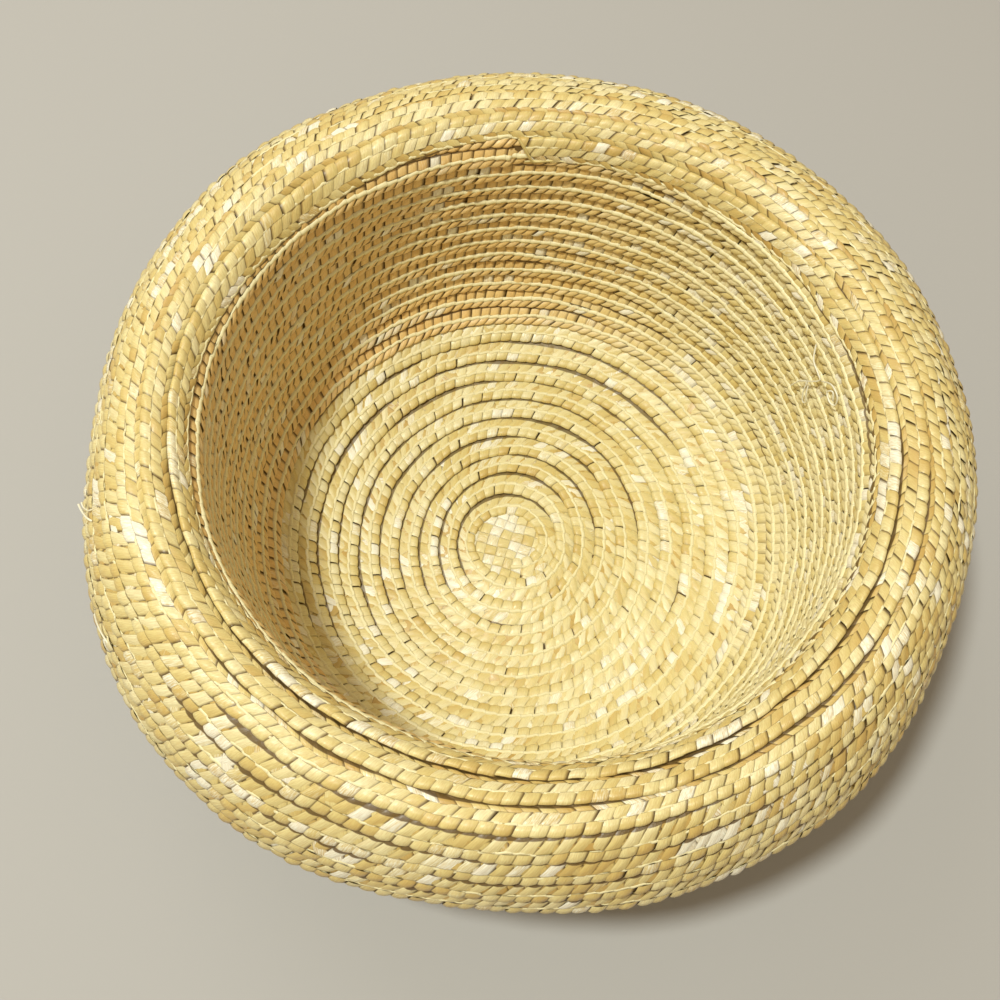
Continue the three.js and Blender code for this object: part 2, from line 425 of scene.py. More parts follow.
def brim_gap_shade(turn):
    """Painted shade in the gaps of the brim's rows: full on the near right, where their raised edges
    are turned from the light, more so in the outer ones.
    """
    angle_shade = gap_shade_round(brim_angle(turn), *BRIM_GAP_SHADE)
    return angle_shade * (1.0 + OUTER_GAP_SHADE * smooth(turn - OUTER_TURN))


# How a run is sewn, as functions of the turn: row edge nearest the tip, angle, width, how far it
# sinks, how free its covered side is, how much painted shade the gap beside it gets; and the step
# between rows
Sewing = collections.namedtuple("Sewing", "edge angle pitch sink free open_side lap")
CROWN_SEWING = Sewing(crown_edge, crown_angle, crown_pitch, crown_sink, crown_free,
                      crown_gap_shade, CROWN_LAP)
BRIM_SEWING = Sewing(brim_edge, brim_angle, brim_pitch, brim_sink, brim_free,
                     brim_gap_shade, BRIM_LAP)


def row_lift(part, lap, sag, free):
    """Lean of a row: highest at its raised edge, falling evenly to the covered
    one, with a further drop where the next row covers it. Where no row covers
    it, that side is free and stands up instead."""
    covered = sag * smooth((part - SAG_START) / SAG_SPAN)
    return lap * (0.5 - part) - (1.0 - free) * covered + free * SEAM_RISE * np.clip(part, 0, 1)


def row_wander(length):
    """Hand sewing lets a row wander: smooth random values along the plait,
    added up, as millimetres along the straw."""
    wander = 0.0
    for amount, spacing, seed in ROW_WANDERS:
        wander = wander + amount * (even_noise(length / spacing + 2.0, seed) - 0.5)
    return wander


class Run:
    """One run of plait: how it is sewn, its turns, and the length along the
    plait, added up on the hat at the row's middle. The raised edge of a row is
    nearest the tip, or furthest from it. No leaf starts before the cut, given
    as its length at the raised edge and its slant across the row."""

    STEPS = 720  # points for each turn

    def __init__(self, sewing, start, end, cell, raised_first, cut=(0.0, 0.0)):
        self.sewing, self.cell, self.raised_first, self.cut = sewing, cell, raised_first, cut
        self.turn = np.linspace(start, end, int((end - start) * self.STEPS) + 1)
        middle = sewing.edge(self.turn) + sewing.pitch(self.turn) / 2
        line = hat_point(middle, 0.0, sewing.angle(self.turn))
        steps = np.linalg.norm(np.diff(line, axis=0), axis=1)
        self.length = np.concatenate([[0.0], np.cumsum(steps)])

    def turn_at(self, length):
        return np.interp(length, self.length, self.turn)

    def place(self, length, part, lift, side=1.0, base=0.0):
        """Point on the plait: length along it, part of the way across a row
        from its raised edge, and a lift off the leaning row on one side of the
        wall."""
        turn = self.turn_at(length)
        sag = ROW_SAG if side > 0 else 0.0
        lift = lift + row_lift(part, self.sewing.lap, sag, self.sewing.free(turn))
        across = part if self.raised_first else 1.0 - part
        along = self.sewing.edge(turn) + self.sewing.pitch(turn) * across + row_wander(length)
        lift = base + side * lift - self.sewing.sink(turn)
        return hat_point(along, lift, self.sewing.angle(turn))


def crown_run(start, end, raised_first=True, cell=SIDE_CELL):
    return Run(CROWN_SEWING, start, end, cell, raised_first)


def brim_run(start, end, raised_first=False, cut=(0.0, 0.0)):
    return Run(BRIM_SEWING, start, end, BRIM_CELL, raised_first, cut)


# Meshes

def new_mesh(name, points, quads, material, uv=None, straw=None):
    """Mesh from arrays: points in millimetres, quads as rows of four indices.
    Each point may have a place on its leaf (uv) and its straw: tone, whiteness, seed, and how far
    across the row it lies, for the painted shade in the gap."""
    mesh = bpy.data.meshes.new(name)
    mesh.vertices.add(len(points))
    mesh.vertices.foreach_set("co", (points * MM).astype(np.float32).ravel())
    mesh.loops.add(quads.size)
    mesh.loops.foreach_set("vertex_index", quads.astype(np.int32).ravel())
    mesh.polygons.add(len(quads))
    mesh.polygons.foreach_set("loop_start", np.arange(0, quads.size, 4, dtype=np.int32))
    mesh.polygons.foreach_set("loop_total", np.full(len(quads), 4, dtype=np.int32))
    mesh.polygons.foreach_set("use_smooth", np.full(len(quads), True))
    mesh.update(calc_edges=True)
    if uv is not None:
        layer = mesh.uv_layers.new(name="leaf")
        layer.data.foreach_set("uv", uv[quads.ravel()].astype(np.float32).ravel())
    if straw is not None:
        colour = mesh.color_attributes.new(name="straw", type="FLOAT_COLOR", domain="POINT")
        colour.data.foreach_set("color", straw.astype(np.float32).ravel())
    mesh.materials.append(material)
    piece = bpy.data.objects.new(name, mesh)
    bpy.context.scene.collection.objects.link(piece)
    return piece


def turned_out(points, quads, outward):
    """The same quads, wound so that most face along the outward directions."""
    a, b, d = points[quads[:, 0]], points[quads[:, 1]], points[quads[:, 3]]
    facing = np.einsum("ij,ij->i", np.cross(b - a, d - a), outward[quads[:, 0]])
    return quads if facing.sum() > 0 else quads[:, ::-1]


def grid_quads(rows, columns, ring=False, closed=False):
    """Quads of a grid of rows by columns points. A ring joins the last column
    to the first, and closed joins the last row to the first."""
    row = np.arange(rows if closed else rows - 1)[:, None] * columns
    column = np.arange(columns if ring else columns - 1)[None]
    after, beside = (row + columns) % (rows * columns), (column + 1) % columns
    corners = [row + column, row + beside, after + beside, after + column]
    return np.stack(corners, axis=-1).reshape(-1, 4)


def copied_quads(quads, count, points_each):
    """The same quads for each of a number of like patches."""
    starts = np.arange(count)[:, None, None] * points_each
    return (quads[None] + starts).reshape(-1, 4)


def straw_values(cells, seed, bias):
    """Tone, whiteness and seed of each cell. Tone is random, with slow drifts
    along the plait; white cells come in short groups, as a pale stalk shows
    again every few cells."""
    rng = np.random.default_rng(seed)
    drift = even_noise(cells / DRIFT_CELLS, seed + 1)
    tone = TONE_LOW + TONE_RANDOM * rng.random(len(cells)) + TONE_DRIFT * (drift - 0.5) + bias
    patch = even_noise(cells / PATCH_CELLS, seed + 2)
    on_stalk = (cells % STALK_CELLS) == (cells // STALK_KEPT) % STALK_CELLS
    white = WHITE_PATCH * patch + WHITE_RANDOM * rng.random(len(cells)) + WHITE_STALK * on_stalk
    return np.clip(tone, 0, 1), np.clip(white, 0, 1), rng.random(len(cells))


def leaf_shape(a, b, climb_part):
    """Height of a leaf from 0 to 1, like a fish scale: it climbs slowly from
    under the leaf before, drops at its far end over the next one, and is
    arched across."""
    climb = smooth(a / climb_part)
    drop = 1.0 - (DROP - DROP_EASED * climb_part) * smooth((a - DROP_START) / (1.0 - DROP_START))
    arch = 1.0 - ARCH * np.abs(2.0 * b - 1.0) ** ARCH_POWER
    return climb * drop * arch


def curled_edge(a, b, part, lift):
    """Raised edge of a row: each leaf bulges out by a half round along its length, and curls down
    and under over the first part of its width. The curl gets the painted shade of the gap."""
    bulge = np.sqrt(np.maximum(1.0 - (2.0 * a - 1.0) ** 2, 0.0))
    curl = 1.0 - smooth(b / CURL_WIDTH)
    part = part - EDGE_BULGE * bulge * (1.0 - smooth(b / EDGE_BULGE_WIDTH)) + CURL_TUCK * curl ** 2
    lift = lift - curl * (CURL_DEPTH - CURL_LIFTED * bulge)
    return part, lift, part + np.sqrt(curl)


def column_leaves(run, column, a, b, side, base, salt):
    """Leaves of one column, as place, outward direction and straw of every
    point. Each leaf is a small sheet: a runs along the plait and b across the
    row, slanted and tapered by its column, puffed off the row, tipped a little
    at random, its edges sunk."""
    margin = abs(column.slant) + 1.0
    count = int(run.length[-1] / run.cell - 2 * margin)
    cells = np.arange(count) + margin + column.offset
    shift, size, tip_a, tip_b = np.random.default_rng(salt).normal(0, 1, (4, count, 1, 1))
    width = column.width_near + (column.width_far - column.width_near) * b
    middle = cells[:, None, None] + 0.5 + LEAF_SHIFT * shift + column.slant * (b - 0.5)
    length = (middle + (a - 0.5) * width) * run.cell
    part = column.start + (column.stop - column.start) * b + np.zeros_like(middle)
    length = np.maximum(length, run.cut[0] + run.cut[1] * part)
    shape = leaf_shape(a, b, column.climb * (1.0 - column.open * b)) * (1.0 + LEAF_SIZE * size)
    lift = column.puff * shape - CREASE_DEPTH
    lift = lift + LEAF_TIP[0] * tip_a * (a - 0.5) + LEAF_TIP[1] * tip_b * (b - 0.5)
    gap = part.copy()
    if column.edge:
        part, lift, gap = curled_edge(a, b, part, lift)
    place = run.place(length, part, lift, side, base)
    out = run.place(length, part, lift + 1.0, side, base) - place
    straw = np.empty(length.shape + (4,))
    values = np.stack(straw_values(np.floor(cells).astype(int), salt + 5, column.tone), axis=1)
    straw[..., :3] = values[:, None, None, :]
    # Painted shade in the gap beside a row: it draws back where the row's edge faces the light
    straw[..., 3] = gap - GAP_SHADE_BACK * (1.0 - run.sewing.open_side(run.turn_at(length)))
    return place.reshape(-1, 3), out.reshape(-1, 3), straw.reshape(-1, 4)


def plait_piece(name, run, columns, material, seed, below=False):
    """Face of a run of plait, column by column: its upper one, or the one
    below, a wall lower. Where the one below nears the floor it is pressed
    flatter, evenly."""
    side, base = (-1.0, -WALL) if below else (1.0, 0.0)
    a_steps, b_steps = (UNDER_A, UNDER_B) if below else (FACE_A, FACE_B)
    a, b = np.meshgrid(a_steps, b_steps)
    parts = [column_leaves(run, column, a, b, side, base, seed * 100 + number * 10)
             for number, column in enumerate(columns)]
    points, outs, straws = (np.concatenate(arrays) for arrays in zip(*parts))
    count = len(points) // a.size
    quads = copied_quads(grid_quads(len(b_steps), len(a_steps)), count, a.size)
    quads = turned_out(points, quads, outs)
    if below:
        height = points[:, 2]
        points[:, 2] = np.where(height < PRESSED, PRESSED - (PRESSED - height) * PRESS, height)
    uv = np.tile(np.stack([a.ravel(), b.ravel()], axis=1), (count, 1))
    return new_mesh(name, points, quads, material, uv, straws)


def fold_line(name, run, fold, material):
    """Pale fold between beads and leaves: a low round ridge along the plait that steps to and fro
    once for each bead, its width uneven. Where a slow random value is low it sinks out of sight, as
    far as it is broken. On the left of the hat it is painted less pale, as painted shade, by its
    left shade."""
    count = int(run.length[-1] / run.cell * FOLD_POINTS)
    length = np.linspace(run.cell, run.length[-1] - run.cell, count)
    phase = length / run.cell
    wave = FOLD_WAVE * np.sin(TURN * phase) + FOLD_WAVE_TWICE * np.sin(2 * TURN * phase + 0.8)
    wave = wave + FOLD_DRIFT * (even_noise(phase / 2.0, fold.seed) - 0.5)
    across = np.array(FOLD_ACROSS) * fold.width
    round_off = np.array(FOLD_ROUND)
    uneven = 0.75 + 0.5 * even_noise(phase / 1.3, fold.seed + 1)
    parts = fold.part + wave[:, None] + across[None] * uneven[:, None]
    seen = 1.0 - fold.broken * (1.0 - smooth((even_noise(phase / 1.6, fold.seed + 5) - 0.2) / 0.4))
    lift = fold.rise * (round_off[None] * uneven[:, None] - FOLD_SUNK * (1.0 - seen[:, None]))
    points = run.place(length[:, None], parts, lift)
    out = run.place(length[:, None], parts, lift + 1.0) - points
    points = points.reshape(-1, 3)
    quads = turned_out(points, grid_quads(count, len(across)), out.reshape(-1, 3))
    line = np.linspace(0, 1, len(across))
    uv = np.stack(np.broadcast_arrays(line[None], phase[:, None]), axis=-1)
    # Painted shade: the fold is dimmed on the left of the hat, which lies in shade
    pale = 1.0 - fold.dull * (0.5 - 0.5 * np.cos(run.sewing.angle(run.turn_at(length))))
    tone = pale * (0.50 + 0.36 * even_noise(phase / 1.7, fold.seed + 2))
    white = pale * (0.40 + 0.38 * even_noise(phase / 2.3, fold.seed + 3))
    straw = np.stack([tone, white, even_noise(phase, fold.seed + 4), 0 * tone], axis=1)
    straw = np.repeat(straw, len(across), axis=0)
    return new_mesh(name, points, quads, material, uv.reshape(-1, 2), straw)


def woven_middle(name, material, below=False):
    """Plain weave at the middle of the tip: squares in a grid, each puffed,
    every other one across the first, laid on the face below the coil, or on the
    underside."""
    side, base = (-1.0, -WALL) if below else (1.0, 0.0)
    half = WEAVE_COUNT * WEAVE_SQUARE / 2
    a, b = np.meshgrid(WEAVE_LINE, WEAVE_LINE)
    i, j = np.meshgrid(np.arange(WEAVE_COUNT), np.arange(WEAVE_COUNT))
    i, j = i.ravel(), j.ravel()
    off = np.hypot(i - WEAVE_COUNT / 2 + 0.5, j - WEAVE_COUNT / 2 + 0.5)
    keep = off * WEAVE_SQUARE < WEAVE_REACH
    i, j = i[keep], j[keep]
    turned = ((i + j) % 2)[:, None, None]
    x = (i[:, None, None] + a) * WEAVE_SQUARE - half
    y = (j[:, None, None] + b) * WEAVE_SQUARE - half
    flat_way = np.where(turned, np.abs(2 * a - 1), np.abs(2 * b - 1))
    cross_way = np.where(turned, np.abs(2 * b - 1), np.abs(2 * a - 1))
    height = WEAVE_PUFF * (1 - flat_way ** 6) * (1 - 0.75 * cross_way ** 2.2)
    radius, angle = np.hypot(x, y), np.arctan2(y, x) + WEAVE_TURN
    sunk = WEAVE_LIFT - WEAVE_SUNK * smooth((radius - WEAVE_SUNK_START) / WEAVE_SUNK_SPAN)
    points = hat_point(radius, base + side * (height + sunk), angle).reshape(-1, 3)
    quads = copied_quads(grid_quads(len(WEAVE_LINE), len(WEAVE_LINE)), len(i), a.size)
    quads = turned_out(points, quads, np.tile([[0.0, 0.0, side]], (len(points), 1)))
    rng = np.random.default_rng(WEAVE_SEED)
    straw = np.stack([0.45 + 0.5 * rng.random(len(i)), 0.45 + 0.55 * rng.random(len(i)),
                      rng.random(len(i)), 0 * i], axis=1)
    uv = np.stack([np.where(turned, a, b), np.where(turned, b, a)], axis=-1).reshape(-1, 2)
    return new_mesh(name, points, quads, material, uv, np.repeat(straw, a.size, axis=0))


def core_shell(name, start, stop, material):
    """Plain inner layer of the plait that closes it to light: a thin closed
    shell half-way through the wall, carried round the hat."""
    steps = np.arange(start, stop + 0.1, CORE_STEP)
    angle = np.linspace(0, TURN, CORE_SEGMENTS, endpoint=False)
    loop = np.concatenate([steps, steps[::-1]])
    lift = np.concatenate([np.full(len(steps), CORE_TOP), np.full(len(steps), CORE_BOTTOM)])
    points = hat_point(loop[:, None], lift[:, None], angle[None])
    quads = grid_quads(len(loop), CORE_SEGMENTS, ring=True, closed=True)
    middle = hat_point(loop[:, None], (CORE_TOP + CORE_BOTTOM) / 2, angle[None])
    out = (points - middle).reshape(-1, 3)
    points = points.reshape(-1, 3)
    return new_mesh(name, points, turned_out(points, quads, out), material)


def swept_round(name, path, radius, sides, material, straw=GOLD):
    """Thin round strand along a path: a circle across the path at each point,
    shrinking to almost none at its ends."""
    tangent = np.gradient(path, axis=0)
    tangent /= np.linalg.norm(tangent, axis=1, keepdims=True) + 1e-9
    across = np.cross(tangent, STRAND_GUIDE)
    across /= np.linalg.norm(across, axis=1, keepdims=True) + 1e-9
    over = np.cross(across, tangent)
    turn = np.linspace(0, TURN, sides, endpoint=False)
    size = np.full(len(path), radius)
    size[[0, -1]] *= STRAND_END
    cos, sin = np.cos(turn)[None, :, None], np.sin(turn)[None, :, None]
    ring = across[:, None] * cos + over[:, None] * sin
    points = (path[:, None] + ring * size[:, None, None]).reshape(-1, 3)
    quads = turned_out(points, grid_quads(len(path), sides, ring=True), ring.reshape(-1, 3))
    line = np.linspace(0, 1, len(path))
    uv = np.stack(np.broadcast_arrays(turn[None] / TURN, line[:, None]), axis=-1)
    straw = np.tile(straw, (len(points), 1))
    return new_mesh(name, points, quads, material, uv.reshape(-1, 2), straw)


# Paths of the round strands

def soft_curve(points, steps):
    """Curve through points: a cubic from each to the next, whose slope at a
    point is that of the line between its neighbours."""
    points = np.array(points, dtype=float)
    padded = np.concatenate([[2 * points[0] - points[1]], points, [2 * points[-1] - points[-2]]])
    at = np.linspace(0, len(points) - 1, steps)
    k = np.minimum(at.astype(int), len(points) - 2)
    t = (at - k)[:, None]
    before, start, stop, after = padded[k], padded[k + 1], padded[k + 2], padded[k + 3]
    curve = 2 * start + (stop - before) * t
    curve += (2 * before - 5 * start + 4 * stop - after) * t ** 2
    curve += (3 * start - before - 3 * stop + after) * t ** 3
    return curve / 2


def loose_bit(name, points, radius, material):
    """Pale strand laid on the hat along a soft curve."""
    curve = soft_curve(points, CURVE_STEPS)
    path = hat_point(curve[:, 0], curve[:, 1], np.radians(curve[:, 2]))
    return swept_round(name, path, radius, 6, material, PALE)


def folded_start_path():
    """Folded end of the brim's plait: from the raised edge back across the row
    at a slant, round the corner and along the inner edge."""
    curve = soft_curve(FOLDED_START, CURVE_STEPS)
    return brim_run(BRIM_FIRST_TURN, 2.0).place(curve[:, 0], curve[:, 1], curve[:, 2])


def rim_path():
    """Strand that closes the brim's edge: along the raised edge of the last
    row, half-way down through the wall."""
    run = brim_run(BRIM_SPLIT_TURN - SPLIT_OVERLAP, BRIM_ROWS)
    first = np.interp(BRIM_ROWS - 1.03, run.turn, run.length)
    length = np.arange(first, run.length[-1] - 2 * BRIM_CELL, RIM_STEP)
    return run.place(length, np.full(len(length), RIM_PART), RIM_LIFT)


# Materials

STRAW_TONES = (
    (0.00, (0.56, 0.38, 0.11)),
    (0.25, (0.64, 0.48, 0.16)),
    (0.50, (0.72, 0.60, 0.24)),
    (0.75, (0.79, 0.70, 0.34)),
    (1.00, (0.86, 0.80, 0.48)),
)
# Painted shade: warm colour laid on the left of the hat, whose walls lie in shade
WARM_SHADE_COLOUR = (0.95, 0.62, 0.25, 1.0)
WHITE_STRAW = (0.95, 0.95, 0.80, 1.0)
FIBRE_BROWN = (0.50, 0.28, 0.07, 1.0)
# Painted shade: colour of the shade in the creases round each leaf and in the gap beside a row
CREASE_SHADE_COLOUR = (0.12, 0.065, 0.014, 1.0)
# Painted shade: the inner layer is seen only down in the gaps, so it is coloured dark
CORE_SHADE_DARK, CORE_SHADE_LIGHT = (0.10, 0.055, 0.012, 1.0), (0.20, 0.12, 0.03, 1.0)
FLOOR_GREY = (0.42, 0.417, 0.41, 1.0)
TUCK_SHADE_ACROSS, TUCK_SHADE_ALONG, TUCK_SHADE_OFFSET = 0.20, 0.16, -0.18  # painted shade: tone is lowest where a leaf comes out from under its neighbour and rises over it
FIBRE_SCALES = (7.0, 1.1, 60.0)  # across a leaf, along it, and by its seed
FIBRE_DETAIL = {"Scale": 2.2, "Detail": 3.0, "Roughness": 0.6}
WHITE_FROM, WHITE_TO, WHITE_MOST = 0.82, 1.02, 0.95
GAP_SHADE_FROM, GAP_SHADE_TO = 0.90, 0.935  # part of the way across a row where the painted shade of the gap sets in
STRAW_ROUGH, STREAK_ROUGH = 0.44, -0.14
LEFT_X, RIGHT_X = -0.04, 0.07  # metres; between them the left look, with its painted warm shade, becomes the right, with its painted light or shade

# Looks of the straw: painted warm shade on the left, strength of the painted shade in the creases,
# its spread into a leaf, strength of the fibres, of the painted shade in the gap beside a row and of
# the relief; on the right, the part of the crease shade kept and the amount added to the tone as
# painted light or shade
Look = collections.namedtuple(
    "Look", "warm crease spread fibre groove bump right_crease right_tone")
TIP_LOOK = Look(0.0, 0.30, 0.16, 0.26, 0.80, 0.5, 1.0, 0.0)
SIDE_LOOK = Look(0.62, 0.92, 0.42, 0.30, 0.85, 0.5, 0.40, 0.34)
BRIM_LOOK = Look(0.0, 0.88, 0.24, 0.36, 0.92, 0.6, 1.0, -0.08)
FOLD_LOOK = Look(0.0, 0.30, 0.14, 0.15, 0.0, 0.3, 1.0, 0.0)
UNDER_LOOK = Look(0.0, 0.60, 0.18, 0.32, 0.85, 0.5, 1.0, 0.0)


def add_node(tree, kind, **settings):
    node = tree.nodes.new(kind)
    for key, value in settings.items():
        setattr(node, key, value)
    return node


def feed(tree, socket, value):
    """Sets a socket to a value, or links it from another socket."""
    if isinstance(value, bpy.types.NodeSocket):
        tree.links.new(value, socket)
    else:
        socket.default_value = value


def maths(tree, operation, *values):
    node = add_node(tree, "ShaderNodeMath", operation=operation)
    for socket, value in zip(node.inputs, values):
        feed(tree, socket, value)
    return node.outputs[0]


def between(tree, value, low, high, to_low=0.0, to_high=1.0):
    """Eased step of a value from low to high."""
    node = add_node(tree, "ShaderNodeMapRange", interpolation_type="SMOOTHSTEP")
    for name, number in (("Value", value), ("From Min", low), ("From Max", high),
                         ("To Min", to_low), ("To Max", to_high)):
        feed(tree, node.inputs[name], number)
    return node.outputs["Result"]


def blend_colour(tree, factor, first, second):
    node = add_node(tree, "ShaderNodeMix", data_type="RGBA", blend_type="MIX")
    feed(tree, node.inputs[0], factor)
    feed(tree, node.inputs[6], first)
    feed(tree, node.inputs[7], second)
    return node.outputs[2]


def ramp(tree, value, stops):
    node = add_node(tree, "ShaderNodeValToRGB")
    elements = node.color_ramp.elements
    while len(elements) < len(stops):
        elements.new(0.5)
    for element, (place, colour) in zip(elements, stops):
        element.position = place
        element.color = (*colour, 1.0)
    feed(tree, node.inputs[0], value)
    return node.outputs[0]


def straw_fibres(tree, across, along, seed):
    """Streaks along a leaf: noise stretched along it, another for each seed."""
    place = add_node(tree, "ShaderNodeCombineXYZ")
    for socket, value, scale in zip(place.inputs, (across, along, seed), FIBRE_SCALES):
        feed(tree, socket, maths(tree, "MULTIPLY", value, scale))
    fibre = add_node(tree, "ShaderNodeTexNoise", noise_dimensions="3D")
    feed(tree, fibre.inputs["Vector"], place.outputs[0])
    for name, value in FIBRE_DETAIL.items():
        fibre.inputs[name].default_value = value
    return between(tree, fibre.outputs["Fac"], 0.30, 0.70)


def leaf_crease_shade(tree, across, along, spread):
    """Mask of the painted shade in a leaf's creases: 1 at its four edges, easing to 0 inside it:
    slowly from the side at 0 across, quickly from the others."""
    low_side = between(tree, across, 0.03, spread)
    high_side = between(tree, maths(tree, "SUBTRACT", 1.0, across), -0.04, 0.05)
    ends = between(tree, maths(tree, "PINGPONG", along, 0.5), -0.02, 0.07)
    inside = maths(tree, "MULTIPLY", maths(tree, "MULTIPLY", low_side, high_side), ends)
    return maths(tree, "SUBTRACT", 1.0, inside)


def straw_group():
    """Look of one straw leaf: a golden tone from its own value, lowered as painted shade where the
    leaf comes out from under its neighbour and warmed as painted shade where asked, near white on
    pale stalks, fine fibres along the leaf, and painted shade in the crease round it and in the gap,
    which is where its part across the row is past a threshold."""
    tree = bpy.data.node_groups.new("straw_leaf", "ShaderNodeTree")
    for name in ("Tone", "White", "Seed", "Gap", "Across", "Along",
                 "Warm", "Crease", "Spread", "Fibre", "Groove"):
        tree.interface.new_socket(name, in_out="INPUT", socket_type="NodeSocketFloat")
    tree.interface.new_socket("Color", in_out="OUTPUT", socket_type="NodeSocketColor")
    for name in ("Roughness", "Height"):
        tree.interface.new_socket(name, in_out="OUTPUT", socket_type="NodeSocketFloat")
    own = add_node(tree, "NodeGroupInput").outputs
    out = add_node(tree, "NodeGroupOutput").inputs
    # Painted shade: the tone is lowered where the leaf comes out from under its neighbour
    turned = maths(tree, "MULTIPLY_ADD", own["Across"], TUCK_SHADE_ACROSS, TUCK_SHADE_OFFSET)
    turned = maths(tree, "MULTIPLY_ADD", own["Along"], TUCK_SHADE_ALONG, turned)
    tone = ramp(tree, maths(tree, "ADD", own["Tone"], turned), STRAW_TONES)
    tone = blend_colour(tree, own["Warm"], tone, WARM_SHADE_COLOUR)
    streak = straw_fibres(tree, own["Across"], own["Along"], own["Seed"])
    whiteness = maths(tree, "MULTIPLY_ADD", streak, 0.10, own["White"])
    pale = between(tree, whiteness, WHITE_FROM, WHITE_TO, 0.0, WHITE_MOST)
    colour = blend_colour(tree, pale, tone, WHITE_STRAW)
    strength = maths(tree, "MULTIPLY", own["Fibre"], maths(tree, "SUBTRACT", 1.0, streak))
    colour = blend_colour(tree, strength, colour, FIBRE_BROWN)
    # Painted shade: the creases round the leaf are darkened towards brown, where shade falls
    edges = leaf_crease_shade(tree, own["Across"], own["Along"], own["Spread"])
    crease = maths(tree, "MULTIPLY", own["Crease"], edges)
    # Painted shade in the gap beside the row, past a part of the way across it
    gap = between(tree, own["Gap"], GAP_SHADE_FROM, GAP_SHADE_TO)
    crease = maths(tree, "MAXIMUM", crease, maths(tree, "MULTIPLY", gap, own["Groove"]))
    feed(tree, out["Color"], blend_colour(tree, crease, colour, CREASE_SHADE_COLOUR))
    feed(tree, out["Roughness"], maths(tree, "MULTIPLY_ADD", streak, STREAK_ROUGH, STRAW_ROUGH))
    feed(tree, out["Height"], streak)
    return tree


STRAW_GROUP = straw_group()


def new_material(name):
    """New material, and its own shader."""
    material = bpy.data.materials.new(name)
    material.use_nodes = True
    return material, material.node_tree.nodes["Principled BSDF"]


def straw_material(name, look):
    """Straw of one part of the hat, with painted light by side. It is painted warmer on the left, as
    in shade; on the right its painted crease shade keeps a part of its strength, and its tone rises
    or falls as painted light or shade."""
    material, shader = new_material(name)
    tree = material.node_tree
    own = add_node(tree, "ShaderNodeAttribute", attribute_name="straw")
    split = add_node(tree, "ShaderNodeSeparateColor")
    feed(tree, split.inputs[0], own.outputs["Color"])
    uv = add_node(tree, "ShaderNodeUVMap", uv_map="leaf")
    place = add_node(tree, "ShaderNodeSeparateXYZ")
    feed(tree, place.inputs[0], uv.outputs[0])
    leaf = add_node(tree, "ShaderNodeGroup", node_tree=STRAW_GROUP)
    feed(tree, leaf.inputs["White"], split.outputs[1])
    feed(tree, leaf.inputs["Seed"], split.outputs[2])
    feed(tree, leaf.inputs["Gap"], own.outputs["Alpha"])
    where = add_node(tree, "ShaderNodeSeparateXYZ")
    feed(tree, where.inputs[0], add_node(tree, "ShaderNodeTexCoord").outputs["Object"])
    x = where.outputs[0]
    # Painted light and shade by side: warm shade on the left; on the right the crease shade weakens
    # and the tone rises where lit or falls where shaded
    feed(tree, leaf.inputs["Warm"], between(tree, x, LEFT_X, RIGHT_X, look.warm, 0.0))
    feed(tree, leaf.inputs["Crease"], between(
        tree, x, LEFT_X, RIGHT_X, look.crease, look.crease * look.right_crease))
    raised = between(tree, x, LEFT_X, RIGHT_X, 0.0, look.right_tone)
    feed(tree, leaf.inputs["Tone"], maths(tree, "ADD", split.outputs[0], raised))
    feed(tree, leaf.inputs["Across"], place.outputs[0])
    feed(tree, leaf.inputs["Along"], place.outputs[1])
    for socket, value in (("Spread", look.spread), ("Fibre", look.fibre), ("Groove", look.groove)):
        leaf.inputs[socket].default_value = value
    relief = add_node(tree, "ShaderNodeBump")
    relief.inputs["Strength"].default_value = look.bump
    relief.inputs["Distance"].default_value = 0.00012
    feed(tree, relief.inputs["Height"], leaf.outputs["Height"])
    feed(tree, shader.inputs["Base Color"], leaf.outputs["Color"])
    feed(tree, shader.inputs["Roughness"], leaf.outputs["Roughness"])
    feed(tree, shader.inputs["Normal"], relief.outputs["Normal"])
    shader.inputs["Coat Weight"].default_value = 0.20
    shader.inputs["Coat Roughness"].default_value = 0.30
    return material


def core_material():
    """Unplaited inner straw, coloured as painted shade since it is seen only down in the gaps: dark
    brown to dark gold in soft patches.
    """
    material, shader = new_material("straw_core")
    tree = material.node_tree
    place = add_node(tree, "ShaderNodeTexCoord")
    patches = add_node(tree, "ShaderNodeTexNoise")
    feed(tree, patches.inputs["Vector"], place.outputs["Object"])
    patches.inputs["Scale"].default_value = 260.0
    feed(tree, shader.inputs["Base Color"], blend_colour(
        tree, patches.outputs["Fac"], CORE_SHADE_DARK, CORE_SHADE_LIGHT))
    shader.inputs["Roughness"].default_value = 0.7
    return material


def floor_material():
    material, shader = new_material("pale_floor")
    shader.inputs["Base Color"].default_value = FLOOR_GREY
    shader.inputs["Roughness"].default_value = 0.85
    return material


# Pieces

